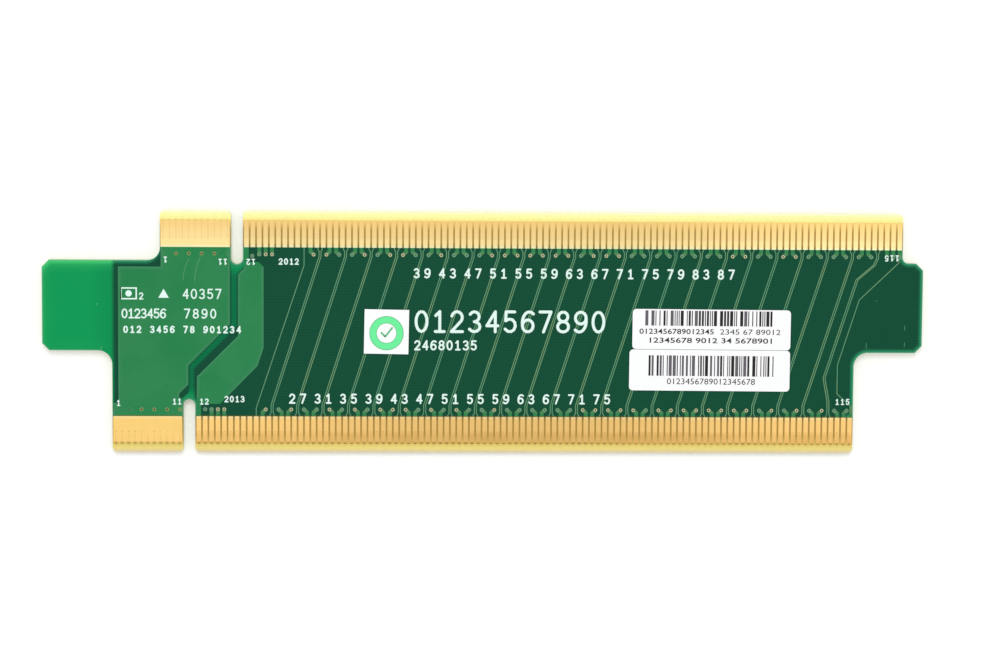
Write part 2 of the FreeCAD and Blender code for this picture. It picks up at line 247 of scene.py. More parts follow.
def bump(tree, height, strength, depth):
    """Roughens the surface by a height pattern, to a depth in millimetres."""
    node = tree.nodes.new("ShaderNodeBump")
    node.inputs["Strength"].default_value = strength
    node.inputs["Distance"].default_value = depth * MM
    tree.links.new(height, node.inputs["Height"])
    tree.links.new(node.outputs[0], tree.nodes["Principled BSDF"].inputs["Normal"])


card_low, card_high = (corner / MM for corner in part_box("core_laminate"))
upper_low, upper_high = (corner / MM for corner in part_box("upper_front_contacts"))
lower_low, lower_high = (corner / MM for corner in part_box("lower_front_contacts"))
supply_low, supply_high = (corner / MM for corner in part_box("front_supply_copper"))
return_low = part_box("front_return_copper")[0] / MM

CONTACT_WIDTH = 0.72
LACQUER_EDGE = upper_low.y             # the lacquer ends where the contacts start
BEVEL_START = upper_high.y + 0.05
TIE_PLACE = BEVEL_START - 0.03         # the cut ends of the plating's ties
WING_TOP = 11.22                       # the wings' upper and lower edges
WING_BOTTOM = -2.98
WING_CHAMFER = 1.1
UPPER_LEFT_CURVE = 2.0                 # the radii of the notches' inner corners
UPPER_RIGHT_CURVE = 1.0
LOWER_CURVE = 2.2
PULLBACK = 0.35                        # from the card's edge to the copper inside it
UPPER_SLOT = upper_low.x - 1.14        # the middles of the two key slots
LOWER_SLOT = lower_low.x - 1.14
SLOT_HALF = 0.95
SLOT_END = 11.6                        # where the round end of a slot has its centre
UPPER_TAB = (supply_low.x + 7.05, upper_high.x + 0.14)    # the connectors' left and right
LOWER_TAB = (supply_low.x - 0.45, lower_high.x + 0.14)


def notch_distance(tree, place, corner_x, corner_y, radius, side_x, side_y):
    """How far a point is from a notch with a rounded inner corner, beside a wing.

    The notch is the space beyond corner_x and corner_y, to the sides given by the signs.
    """
    across = minus(tree, corner_x + side_x * radius, place[0])
    across = largest(tree, times(tree, across, side_x), 0.0)
    up = minus(tree, corner_y + side_y * radius, place[1])
    up = largest(tree, times(tree, up, side_y), 0.0)
    return minus(tree, length_of(tree, across, up), radius)


def slot_distance(tree, place, middle, side_y):
    """How far a point is from a key slot."""
    across = minus(tree, place[0], middle)
    up = scaled(tree, place[1], -side_y, SLOT_END)
    distance = length_of(tree, across, largest(tree, up, 0.0))
    return minus(tree, distance, SLOT_HALF)


def edge_distance(tree, place):
    """How far a point of the lacquered middle is from the card's cut edge."""
    x, y = place[0], place[1]
    distances = [
        minus(tree, x, card_low.x),
        minus(tree, card_high.x, x),
        notch_distance(tree, place, UPPER_TAB[0], WING_TOP, UPPER_LEFT_CURVE, -1, 1),
        notch_distance(tree, place, UPPER_TAB[1], WING_TOP, UPPER_RIGHT_CURVE, 1, 1),
        notch_distance(tree, place, LOWER_TAB[0], WING_BOTTOM, LOWER_CURVE, -1, -1),
        notch_distance(tree, place, LOWER_TAB[1], WING_BOTTOM, LOWER_CURVE, 1, -1),
        slot_distance(tree, place, UPPER_SLOT, 1),
        slot_distance(tree, place, LOWER_SLOT, -1),
    ]
    diagonal = math.sqrt(0.5)
    for side_x, end in ((-1, card_low.x), (1, card_high.x)):
        for side_y, edge in ((1, WING_TOP), (-1, WING_BOTTOM)):
            reach = (side_x * end + side_y * edge - WING_CHAMFER) * diagonal
            slant = times(tree, x, -side_x * diagonal)
            slant = scaled(tree, y, -side_y * diagonal, slant)
            distances.append(plus(tree, slant, reach))
    return smallest(tree, *distances)


SPLIT_LEFT_UPPER = supply_high.x       # the gap between the two inner planes
SPLIT_LEFT_LOWER = SPLIT_LEFT_UPPER - 6.53
SPLIT_RIGHT_UPPER = return_low.x + 6.53
SPLIT_RIGHT_LOWER = SPLIT_LEFT_LOWER + 1.05
SPLIT_SLANT = 1.2 - SPLIT_LEFT_UPPER   # its slanted left side is y = x + this
SPLIT_SHIFT = 1.54                     # from there to its slanted right side
SPLIT_FLARE = 1.17                     # how much wider it is beside each key slot


def plane_split(tree, place):
    """How far inside the gap between the supply and ground planes a point is."""
    x, y = place[0], place[1]
    slant = minus(tree, y, SPLIT_SLANT)
    left = smallest(tree, largest(tree, slant, SPLIT_LEFT_LOWER), SPLIT_LEFT_UPPER)
    flare = plus(tree, y, SPLIT_LEFT_LOWER + 9.5)
    left = smallest(tree, left, largest(tree, flare, SPLIT_LEFT_LOWER - SPLIT_FLARE))
    right = plus(tree, slant, SPLIT_SHIFT)
    right = largest(tree, right, SPLIT_RIGHT_LOWER)
    right = smallest(tree, right, SPLIT_RIGHT_UPPER)
    flare = plus(tree, y, SPLIT_RIGHT_UPPER - 9.17)
    right = largest(tree, right, smallest(tree, flare, SPLIT_RIGHT_UPPER + 1.13))
    return smallest(tree, minus(tree, x, left), minus(tree, right, x))


def contact_distance(tree, place):
    """How far a point is from the middle line of the nearest contact, in millimetres."""
    upper = upper_half(tree, place)
    start = CONTACT_WIDTH / 2 - 0.5
    first = by_half(tree, upper, lower_low.x + start, upper_low.x + start)
    across = math_node(tree, "FRACT", minus(tree, place[0], first))
    return apart(tree, across, 0.5)


def mark(tree, place, x, y, half_width, half_height, soft=0.08):
    """A small soft-edged mark at a place."""
    across = rise(tree, apart(tree, place[0], x), half_width + soft, half_width - soft)
    up = rise(tree, apart(tree, place[1], y), half_height + soft, half_height - soft)
    return times(tree, across, up)


# painted shade on the lacquer's lower edge, which faces away from the light
LIP_SHADE = paint(112, 92, 26)
LAYER_PITCH = 0.11                     # from one layer of glass cloth to the next
CLOUD_SIZE = 9.0                       # of the slow changes in tone and wear


def lacquer_lip(tree, out, upper):
    """Painted shade on the lip where the lacquer ends beside the lower contacts, from 0 to 1.
    """
    lip = rise(tree, out, LACQUER_EDGE - 0.22, LACQUER_EDGE - 0.02)
    return times(tree, lip, by_half(tree, upper, 0.7, 0.0))


def laminate_material():
    """Lacquered between the connectors, bare between the contacts and on the bevels."""
    material = new_material("lacquered_laminate", 0.36, 0.07)
    tree = material.node_tree
    place = place_in_mm(tree)
    x, y = place[0], place[1]

    # the dark field over the inner planes, and the brighter gap between them
    edge = edge_distance(tree, place)
    gap = plane_split(tree, place)
    lacquer = blend(tree, rise(tree, gap, -0.1, 0.45), paint(14, 75, 52), paint(2, 109, 67))
    # painted light: the gap between the planes is lighter near the key slots, where light comes
    # in through their cut edges
    slots = smallest(tree, slot_distance(tree, place, UPPER_SLOT, 1),
                     slot_distance(tree, place, LOWER_SLOT, -1))
    near_slot = times(tree, rise(tree, slots, 2.2, 0.0), rise(tree, gap, -0.1, 0.3))
    lacquer = blend(tree, near_slot, lacquer, paint(10, 146, 82))

    # the wing with no copper in it, which light from beyond the card's upper edge fills
    supply_side = LOWER_TAB[0] + PULLBACK
    wing = rise(tree, x, supply_side + 0.5, supply_side - 0.3)
    # painted light: a band along every cut edge, clear of the inner planes, where light comes
    # through the laminate
    rim = rise(tree, edge, PULLBACK + 0.4, PULLBACK - 0.2)
    lacquer = blend(tree, rim, lacquer, paint(36, 134, 92))
    far_wing = rise(tree, x, supply_side - 0.2, supply_side - 4.0)
    bright = blend(tree, far_wing, paint(6, 143, 81), paint(9, 151, 83))
    lacquer = blend(tree, wing, lacquer, bright)
    glow = scaled(tree, rise(tree, edge, 2.3, 0.3), 0.22,
                  times(tree, rise(tree, edge, 0.85, 0.0), 0.65))
    above = scaled(tree, rise(tree, y, 8.5, 10.8), 0.8,
                   times(tree, rise(tree, y, -2.9, -1.5), 0.2))
    glow = times(tree, times(tree, glow, wing), above)
    lacquer = blend(tree, glow, lacquer, paint(76, 212, 120))
    # painted light: the cut edge itself, lightest of all
    lacquer = blend(tree, times(tree, rise(tree, edge, 0.3, 0.0), 0.6), lacquer,
                    paint(96, 172, 130))

    # the cloth under the lacquer, its cloudy tone and a few specks and scuffs
    threads = weave(tree, place)
    depth = scaled(tree, wing, -0.09, 0.15)
    light = scaled(tree, threads, depth, 0.93)
    light = scaled(tree, speckle(tree, CLOUD_SIZE), 0.08, light)
    light = scaled(tree, speckle(tree, 0.5), 0.06, light)
    lacquer = shaded(tree, lacquer, light)
    scuffs = largest(tree, *(mark(tree, place, *scuff) for scuff in (
        (60.5, -1.85, 0.04, 0.45), (66.6, 1.0, 0.04, 0.4), (66.6, -1.65, 0.04, 0.35),
        (-60.85, 4.3, 0.1, 0.1), (-60.15, -2.6, 0.06, 0.25), (62.0, 5.3, 0.06, 0.06))))
    lacquer = blend(tree, times(tree, scuffs, 0.55), lacquer, paint(110, 190, 140))
    out = math_node(tree, "ABSOLUTE", y)
    upper = upper_half(tree, place)
    lacquer = blend(tree, lacquer_lip(tree, out, upper), lacquer, LIP_SHADE)

    # bare laminate beyond the lacquer, and the cut ends of the plating ties
    bare = blend(tree, upper, paint(175, 141, 70), paint(178, 145, 76))
    bare = blend(tree, rise(tree, out, LACQUER_EDGE + 0.9, LACQUER_EDGE), bare,
                 paint(126, 116, 68))
    # painted light: the bare laminate lightens towards the bevel, the upper tips most
    bright_tip = blend(tree, upper, paint(214, 182, 98), paint(242, 206, 118))
    bare = blend(tree, rise(tree, out, 15.9, BEVEL_START + 0.05), bare, bright_tip)
    middle_out = (BEVEL_START + card_high.y) / 2
    tip = rise(tree, out, BEVEL_START, middle_out)
    edge_band = rise(tree, out, middle_out, card_high.y)
    # painted light: the upper bevel, which faces the light from beyond the card's upper edge,
    # is painted lighter than the lower one and palest at its cut edge
    lower_bevel = blend(tree, tip, paint(228, 204, 108), paint(240, 221, 132))
    lower_bevel = blend(tree, edge_band, lower_bevel, paint(228, 211, 168))
    upper_bevel = blend(tree, tip, paint(246, 234, 144), paint(248, 246, 163))
    upper_bevel = blend(tree, edge_band, upper_bevel, paint(249, 249, 206))
    bevel = blend(tree, upper, lower_bevel, upper_bevel)
    blotches = scaled(tree, speckle(tree, 0.7, 3.0), 0.14, 0.93)
    streak = times(tree, rise(tree, contact_distance(tree, place), 0.35, 0.1),
                   rise(tree, out, BEVEL_START + 0.8, BEVEL_START + 0.1))
    streak = times(tree, streak, by_half(tree, upper, -0.08, -0.02))
    bevel = shaded(tree, bevel, plus(tree, blotches, streak))
    bare = blend(tree, rise(tree, out, BEVEL_START - 0.06, BEVEL_START + 0.16), bare, bevel)
    tie = times(tree, rise(tree, contact_distance(tree, place), 0.28, 0.16),
                rise(tree, apart(tree, out, TIE_PLACE), 0.16, 0.05))
    small_tab = math_node(tree, "LESS_THAN", x, UPPER_SLOT)
    above_ties = times(tree, minus(tree, 1.0, small_tab), -0.3)
    depth = scaled(tree, upper, above_ties, by_half(tree, upper, 0.9, 0.3))
    tie = times(tree, tie, depth)
    bare = blend(tree, tie, bare, paint(140, 104, 40))
    surface = blend(tree, rise(tree, out, LACQUER_EDGE - 0.02, LACQUER_EDGE + 0.02), lacquer,
                    bare)

    # the cut edge shows the resin and the glass in fine layers
    layers = math_node(tree, "SINE", times(tree, place[2], 2 * math.pi / LAYER_PITCH))
    layers = scaled(tree, layers, 0.05, 0.9)
    layers = scaled(tree, speckle(tree, 0.3, 3.0, (1, 1, 3)), 0.16, layers)
    cut = shaded(tree, paint(196, 204, 150), layers)
    surface = blend(tree, cut_side(tree), surface, cut)
    colour_surface(tree, surface)
    bump(tree, threads, 0.12, 0.01)
    return material


dress(laminate_material(), "core_laminate", "front_glass_layer", "back_glass_layer")


# ---- the inner planes: etched copper foil inside the laminate, for the supply and the
# ground. They show only through the lacquer, as the card's edges are clear of them.

def foil_material():
    """Dull copper with a rolled grain."""
    material = new_material("copper_foil", 0.45, 0.5, 1.0)
    tree = material.node_tree
    grain = speckle(tree, 0.4, 2.0, (0.1, 1, 1))
    colour = blend(tree, grain, paint(200, 132, 98), paint(226, 168, 132))
    colour_surface(tree, colour)
    bump(tree, grain, 0.2, 0.005)
    return material


dress(foil_material(), "front_supply_plane", "front_ground_plane",
      "back_supply_plane", "back_ground_plane")


# ---- the contacts: copper, nickel and hard gold, in rows on both faces. Sockets have
# wiped them: dots where the springs landed, and a worn length near the lower tips.

LOWER_DOT, UPPER_DOT = 15.72, 14.74    # where the springs landed, from the card's middle
LOWER_WIPE, UPPER_WIPE = 16.0, 14.65   # where the wiped lines on the small tabs start
WIPE_END = 17.3


def plated_surface(tree, place, lower_gold, upper_gold, pale_gold, edge_highlight_gold):
    """The colour of the gold at a place on a contact or on a small tab's pad."""
    y = place[1]
    upper = upper_half(tree, place)
    lower = minus(tree, 1.0, upper)
    out = math_node(tree, "ABSOLUTE", y)
    colour = blend(tree, upper, lower_gold, upper_gold)
    deep = times(tree, rise(tree, out, 14.8, WIPE_END), upper)
    colour = blend(tree, times(tree, deep, 0.35), colour, paint(228, 182, 92))
    pale = times(tree, rise(tree, out, 15.1, 14.3), upper)
    colour = blend(tree, pale, colour, pale_gold)
    # painted highlight along the lacquer's edge, strongest on the upper contacts
    pale = rise(tree, out, LACQUER_EDGE + 0.5, LACQUER_EDGE + 0.1)
    pale = times(tree, pale, by_half(tree, upper, 0.4, 1.0))
    colour = blend(tree, pale, colour, edge_highlight_gold)

    # the lower ends are dark over the ties, less so on the small tab's pad
    main_tab = math_node(tree, "GREATER_THAN", place[0], LOWER_SLOT)
    end = times(tree, rise(tree, out, 17.15, 17.5), lower)
    end = times(tree, end, scaled(tree, main_tab, 0.5, 0.4))
    middle = rise(tree, contact_distance(tree, place), 0.42, 0.2)
    end = times(tree, end, scaled(tree, middle, 0.8, 0.2))
    colour = blend(tree, end, colour, paint(118, 86, 22))

    # the contacts of the lower main tab are worn near their tips, some more than others
    worn = times(tree, times(tree, rise(tree, out, 15.4, 16.3), lower), main_tab)
    patchy = scaled(tree, speckle(tree, 0.7, 3.0), 0.7, 0.35)
    patchy = times(tree, patchy,
                   scaled(tree, rise(tree, speckle(tree, CLOUD_SIZE), 0.35, 0.65), 0.6, 0.7))
    colour = blend(tree, times(tree, worn, patchy), colour, paint(209, 165, 93))
    colour = shaded(tree, colour, scaled(tree, speckle(tree, 2.2, 3.0), 0.1, 0.95))

    # wiped lines on the pads, and a dot on every contact
    line = rise(tree, contact_distance(tree, place), 0.1, 0.02)
    past = minus(tree, out, by_half(tree, upper, LOWER_WIPE, UPPER_WIPE))
    along = times(tree, rise(tree, past, 0.0, 0.15),
                  rise(tree, out, WIPE_END + 0.1, WIPE_END - 0.1))
    small_tab = math_node(tree, "LESS_THAN", place[0],
                          by_half(tree, upper, LOWER_SLOT, UPPER_SLOT))
    wiped = times(tree, times(tree, line, along), small_tab)
    dot = apart(tree, out, by_half(tree, upper, LOWER_DOT, UPPER_DOT))
    dot = times(tree, rise(tree, dot, 0.14, 0.03),
                rise(tree, contact_distance(tree, place), 0.16, 0.05))
    dot = times(tree, dot, rise(tree, speckle(tree, 3.1), 0.35, 0.6))
    depth = by_half(tree, upper, 0.4, 0.1)
    depth = scaled(tree, times(tree, small_tab, upper), 0.15, depth)
    marks = largest(tree, times(tree, wiped, 0.18), times(tree, dot, depth))
    return blend(tree, marks, colour, paint(150, 108, 52))


def plating_material():
    """Bright gold with fine scratches, lighter towards the right end of the upper row and
    towards both ends of the lower row.
    """
    material = new_material("gold_plating", 0.36, 0.5, 0.85)
    tree = material.node_tree
    place = place_in_mm(tree)
    colour = plated_surface(tree, place, paint(228, 187, 114), paint(227, 198, 134),
                            paint(232, 209, 146), paint(222, 218, 172))
    x, y = place[0], place[1]
    upper = upper_half(tree, place)
    upper_tone = times(tree, rise(tree, x, 18.0, 62.0), 0.25)
    lower_tone = scaled(tree, rise(tree, apart(tree, x, 3.0), 8.0, 50.0), 0.21, -0.02)
    tone = times(tree, minus(tree, 1.0, upper), lower_tone)
    tone = scaled(tree, upper, upper_tone, tone)
    colour = shaded(tree, colour, plus(tree, tone, 1.0))
    colour_surface(tree, colour)
    bump(tree, speckle(tree, 0.15, 2.0, (1, 0.08, 1)), 0.1, 0.005)
    return material


dress(plating_material(), "upper_front_contacts", "upper_back_contacts",
      "lower_front_contacts", "lower_back_contacts")


# ---- the outer copper under the lacquer: wide areas for the supply and its return, thin
# traces and short stubs. Over copper the lacquer is paler than over laminate.

def covered_copper_material(name, colour, cloud_colour, with_pads=False):
    """Lacquered copper. With pads, it is gold-plated beyond the lacquer's edge."""
    material = new_material(name, 0.34, 0.08)
    tree = material.node_tree
    place = place_in_mm(tree)
    out = math_node(tree, "ABSOLUTE", place[1])
    upper = upper_half(tree, place)
    threads = weave(tree, place)
    colour = blend(tree, rise(tree, speckle(tree, 6.0, 3.0), 0.3, 0.7), colour, cloud_colour)
    light = scaled(tree, speckle(tree, 0.4, 2.0), 0.16, 0.92)
    light = scaled(tree, threads, 0.03, light)
    colour = shaded(tree, colour, light)
    colour = blend(tree, lacquer_lip(tree, out, upper), colour, LIP_SHADE)
    if with_pads:
        # two faint scratches curve down from the upper pad: foot, low end, high end, bend
        x, y = place[0], place[1]
        scratches = []
        for foot, low, high, bend in ((-45.55, 7.8, 12.0, 0.056), (-47.35, 8.0, 11.6, 0.075)):
            above = minus(tree, y, low)
            line = times(tree, times(tree, above, above), bend)
            away = apart(tree, minus(tree, x, foot), line)
            inside = times(tree, rise(tree, y, low, low + 0.3), rise(tree, y, high, high - 0.3))
            scratches.append(times(tree, rise(tree, away, 0.1, 0.02), inside))
        scratch = times(tree, largest(tree, *scratches), 0.3)
        colour = blend(tree, scratch, colour, paint(140, 180, 150))
        bare = rise(tree, out, LACQUER_EDGE - 0.02, LACQUER_EDGE + 0.02)
        gold = plated_surface(tree, place, paint(247, 206, 122), paint(246, 216, 147),
                              paint(249, 222, 152), paint(244, 232, 180))
        colour = blend(tree, bare, colour, gold)
        metal = tree.nodes["Principled BSDF"].inputs["Metallic"]
        tree.links.new(times(tree, bare, 0.45), metal)
    colour_surface(tree, colour)
    bump(tree, threads, 0.1, 0.005)
    return material


def stub_copper_material():
    """Lacquered stubs, which turn olive towards their vias."""
    material = new_material("covered_copper_stub", 0.34, 0.08)
    tree = material.node_tree
    place = place_in_mm(tree)
    out = math_node(tree, "ABSOLUTE", place[1])
    upper = upper_half(tree, place)
    colour = blend(tree, rise(tree, out, 12.95, 12.3), paint(50, 130, 78), paint(92, 134, 92))
    colour = shaded(tree, colour, scaled(tree, speckle(tree, 1.5), 0.2, 0.9))
    colour = blend(tree, lacquer_lip(tree, out, upper), colour, LIP_SHADE)
    colour_surface(tree, colour)
    bump(tree, weave(tree, place), 0.1, 0.005)
    return material


area_copper = covered_copper_material("covered_copper_area", paint(38, 128, 74),
                                      paint(48, 132, 79), True)
trace_copper = covered_copper_material("covered_copper_trace", paint(90, 148, 114),
                                       paint(110, 152, 110))
stub_copper = stub_copper_material()
for face in ("front", "back"):
    dress(area_copper, face + "_supply_copper", face + "_return_copper")
    dress(trace_copper, face + "_signal_traces")
    dress(stub_copper, face + "_ground_stubs")


# ---- the rims of the wide areas: the lacquer lies thin along the copper's edges, so a
# paler band runs round each area, in two steps. It ends where the lacquer ends, or sooner.

def deselect_all():
    """Nothing selected, so that an operator acts only on what comes next."""
    bpy.ops.object.select_all(action="DESELECT")


def rim_material(name, colour):
    """Thin lacquer over copper."""
    material = new_material(name, 0.34, 0.08)
    tree = material.node_tree
    light = scaled(tree, speckle(tree, 0.6, 2.0), 0.14, 0.93)
    colour_surface(tree, shaded(tree, colour, light))
    return material


RIM_STEPS = ((0.22, rim_material("thin_lacquer_edge", paint(62, 134, 92))),
             (0.28, rim_material("thin_lacquer", paint(50, 131, 82))))
RIM_THICKNESS = 0.006
RIM_LIFT = 0.002             # clear of the copper, so that the two don't flicker
RETURN_END = 10.3            # the return area's rims end here


def area_rim(face, area, end):
    """The band round one area of copper, made from its own outline and cut off at an end."""
    deselect_all()
    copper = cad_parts[face + "_" + area + "_copper"]
    rim = copper.copy()
    rim.data = copper.data.copy()
    rim.name = face + "_" + area + "_rim"
    rim.data.name = rim.name
    bpy.context.collection.objects.link(rim)
    rim.select_set(True)
    bpy.context.view_layer.objects.active = rim
    set_material(rim, *(material for step, material in RIM_STEPS))
    side = 1 if face == "front" else -1
    bpy.ops.object.mode_set(mode="EDIT")
    bpy.ops.mesh.select_mode(type="FACE")
    bpy.ops.mesh.select_all(action="SELECT")
    bpy.ops.mesh.remove_doubles(threshold=0.001 * MM)
    bpy.ops.object.mode_set(mode="OBJECT")
    for polygon in rim.data.polygons:
        polygon.select = polygon.normal.z * side < 0.9
    bpy.ops.object.mode_set(mode="EDIT")
    bpy.ops.mesh.delete(type="FACE")
    bpy.ops.mesh.select_all(action="SELECT")
    bpy.ops.mesh.dissolve_limited(angle_limit=math.radians(1))
    for number, (step, material) in enumerate(RIM_STEPS):
        rim.active_material_index = number
        bpy.ops.object.material_slot_assign()
        bpy.ops.mesh.inset(thickness=step * MM, depth=0, use_even_offset=True)
    bpy.ops.mesh.delete(type="FACE")
    for way in (-1, 1):
        bpy.ops.mesh.select_all(action="SELECT")
        bpy.ops.mesh.bisect(plane_co=(0, way * end * MM, 0), plane_no=(0, way, 0),
                            clear_outer=True)
    bpy.ops.mesh.select_all(action="SELECT")
    bpy.ops.transform.translate(value=(0, 0, side * RIM_LIFT * MM))
    bpy.ops.object.mode_set(mode="OBJECT")
    solid = rim.modifiers.new("lacquer", "SOLIDIFY")
    solid.thickness = RIM_THICKNESS * MM
    solid.offset = 1.0
    bpy.ops.object.modifier_apply(modifier=solid.name)
    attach(rim, "root")


for face in ("front", "back"):
    area_rim(face, "supply", LACQUER_EDGE)
    area_rim(face, "return", RETURN_END)


# ---- the vias: plated holes from face to face. Each has a ring, which is gold where the
# lacquer leaves it open and green where it is covered, and a hole, dark with painted shade.

VIA_RADIUS = 0.33            # the lacquered or bare land
VIA_RING = 0.25              # the rim of the plated hole
VIA_HOLE = 0.165
VIA_HEIGHTS = (0.012, 0.008, -0.015)    # of the land, the ring above it and the sunk middle
VIA_ROW = LACQUER_EDGE - 1.12
FRONT_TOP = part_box("front_signal_traces")[1].z / MM


def join_pieces(pieces, name):
    """Several objects as one piece that rides on the card."""
    deselect_all()
    for piece in pieces:
        piece.select_set(True)
    bpy.context.view_layer.objects.active = pieces[0]
    if len(pieces) > 1:
        bpy.ops.object.join()
    piece = bpy.context.object
    bpy.ops.object.transform_apply(location=True, rotation=True, scale=True)
    piece.name = name
    piece.data.name = name
    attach(piece, "root")
    return piece


def via_shape(land, ring, hole):
    """One via's land and ring with a sunk middle, at the origin."""
    land_height, ring_height, sink = (height * MM for height in VIA_HEIGHTS)
    deselect_all()
    bpy.ops.mesh.primitive_circle_add(vertices=14, radius=VIA_RADIUS * MM, fill_type="NGON")
    via = bpy.context.object
    set_material(via, land, ring, hole)
    bpy.ops.object.mode_set(mode="EDIT")
    bpy.ops.mesh.select_all(action="SELECT")
    bpy.ops.mesh.extrude_region_move(TRANSFORM_OT_translate={"value": (0, 0, land_height)})
    bpy.ops.mesh.inset(thickness=(VIA_RADIUS - VIA_RING) * MM, depth=ring_height)
    via.active_material_index = 1
    bpy.ops.object.material_slot_assign()
    bpy.ops.mesh.inset(thickness=(VIA_RING - VIA_HOLE) * MM, depth=0)
    bpy.ops.mesh.extrude_region_move(TRANSFORM_OT_translate={"value": (0, 0, sink)})
    via.active_material_index = 2
    bpy.ops.object.material_slot_assign()
    bpy.ops.object.mode_set(mode="OBJECT")
    return via


def place_vias(name, places, finish):
    """A copy of the via at each place, on the front and on the back."""
    for face in ("front", "back"):
        first = via_shape(*finish)
        vias = []
        for x, y in places:
            via = first.copy()
            via.data = first.data.copy()
            bpy.context.collection.objects.link(via)
            via.location = (x * MM, y * MM, FRONT_TOP * MM if face == "front" else 0.0)
            if face == "back":
                via.rotation_euler.x = math.pi
            vias.append(via)
        bpy.data.objects.remove(first)
        join_pieces(vias, face + "_" + name)


def mottled_material(name, dark, light, grain, roughness, gloss, metallic=0.0):
    """An uneven finish between two colours, with grains of a size in millimetres."""
    material = new_material(name, roughness, gloss, metallic)
    tree = material.node_tree
    colour_surface(tree, blend(tree, speckle(tree, grain, 3.0), dark, light))
    return material


def via_finish(name, land, ring, hole, ring_metallic=0.0):
    """The materials of a via's land, ring and hole, each between two colours."""
    return [mottled_material(name + "_via_" + part, paint(*dark), paint(*light), 0.3, 0.4, 0.3,
                             metallic)
            for part, (dark, light), metallic in (
                ("land", land, 0.0), ("ring", ring, ring_metallic), ("hole", hole, 0.0))]


# the holes' dark colours are painted shade down in the plated holes
open_via = via_finish("open", ((96, 118, 76), (116, 132, 88)),
                      ((198, 200, 158), (226, 226, 188)), ((72, 62, 32), (92, 80, 46)), 0.25)
covered_via = via_finish("covered", ((80, 132, 92), (92, 142, 100)),
                         ((112, 158, 124), (130, 170, 138)), ((52, 98, 70), (66, 112, 80)))
faint_via = via_finish("faint", ((40, 126, 74), (48, 132, 80)),
                       ((50, 132, 80), (60, 138, 86)), ((24, 92, 58), (34, 104, 66)))
dull_via = via_finish("dull", ((92, 134, 74), (108, 144, 82)),
                      ((134, 148, 84), (150, 160, 96)), ((52, 44, 14), (72, 64, 26)))

LOWER_SHIFT = lower_low.x - upper_low.x
PAIRS = 23


def upper_contact(number):
    """The middle of an upper contact. The lower one of that number stands shifted from it."""
    return upper_low.x + CONTACT_WIDTH / 2 + number - 12


def pair_middle(pair):
    """The middle between the two upper contacts of a pair."""
    return upper_contact(23.5 + 4 * pair)


def upper_via(number, along=0.0, out=0.0):
    """Where the via of an upper contact stands, moved along or out of its row."""
    return (upper_contact(number) + along, VIA_ROW + out)


def lower_via(number, along=0.0, out=0.0):
    """The same for the lower contact of that number."""
    return (upper_contact(number) + LOWER_SHIFT + along, -VIA_ROW - out)


# which vias of the pairs the lacquer leaves open, two letters for each pair
UPPER_OPEN = "oo..o.oo..o...ooooooo.ooo........oo..oo......."
LOWER_OPEN = "o.o..o.o.ooo.o.o..o......ooooo.oooooooo.o.o.o."
open_places, covered_places, faint_places, dull_places = [], [], [], []
for pair in range(PAIRS):
    last_side = 1.5 if pair == PAIRS - 1 else 1    # the last pair's upper vias stand wider
    for number, upper_side, lower_side in ((0, -1, -1), (1, last_side, 1)):
        places = open_places if UPPER_OPEN[2 * pair + number] == "o" else covered_places
        places.append((pair_middle(pair) + upper_side, VIA_ROW))
        places = open_places if LOWER_OPEN[2 * pair + number] == "o" else covered_places
        places.append((pair_middle(pair) + lower_side + LOWER_SHIFT, -VIA_ROW))
for number in (15, 16):
    open_places += [upper_via(number), lower_via(number)]
covered_places += [upper_via(114), lower_via(114.5), upper_via(13, -0.1, -0.25),
                   upper_via(14), upper_via(115), lower_via(13), lower_via(14)]
for number in range(1, 12, 2):    # the small tabs, whose outermost vias are faint
    places = faint_places if number in (1, 11) else dull_places
    places.append(upper_via(number - 2, 0.0, 0.1))
    places = faint_places if number in (1, 3) else dull_places
    places.append(lower_via(number - 2, 0.05, 0.05))
place_vias("open_vias", open_places, open_via)
place_vias("covered_vias", covered_places, covered_via)
place_vias("faint_vias", faint_places, faint_via)
place_vias("dull_vias", dull_places, dull_via)


# ---- the printed figures: plain numbers in white ink, screened on the lacquer. They
# number contacts and pairs; the upper contacts' numbers are turned round.

def ink_material(name, thin, thick):
    """Ink laid down a little unevenly."""
    return mottled_material(name, thin, thick, 0.35, 0.6, 0.2)


INK_HEIGHT = 0.045           # above the copper. Ink fills down to the laminate
CELL_WIDTH = 0.55            # a figure's width for a height of 1


def arc(x, y, half_width, half_height, start, end, steps=9):
    """Points along part of an oval, from one angle to another, in degrees."""
    points = []
    for step in range(steps):
        angle = math.radians(start + (end - start) * step / (steps - 1))
        points.append((x + half_width * math.cos(angle), y + half_height * math.sin(angle)))
    return points


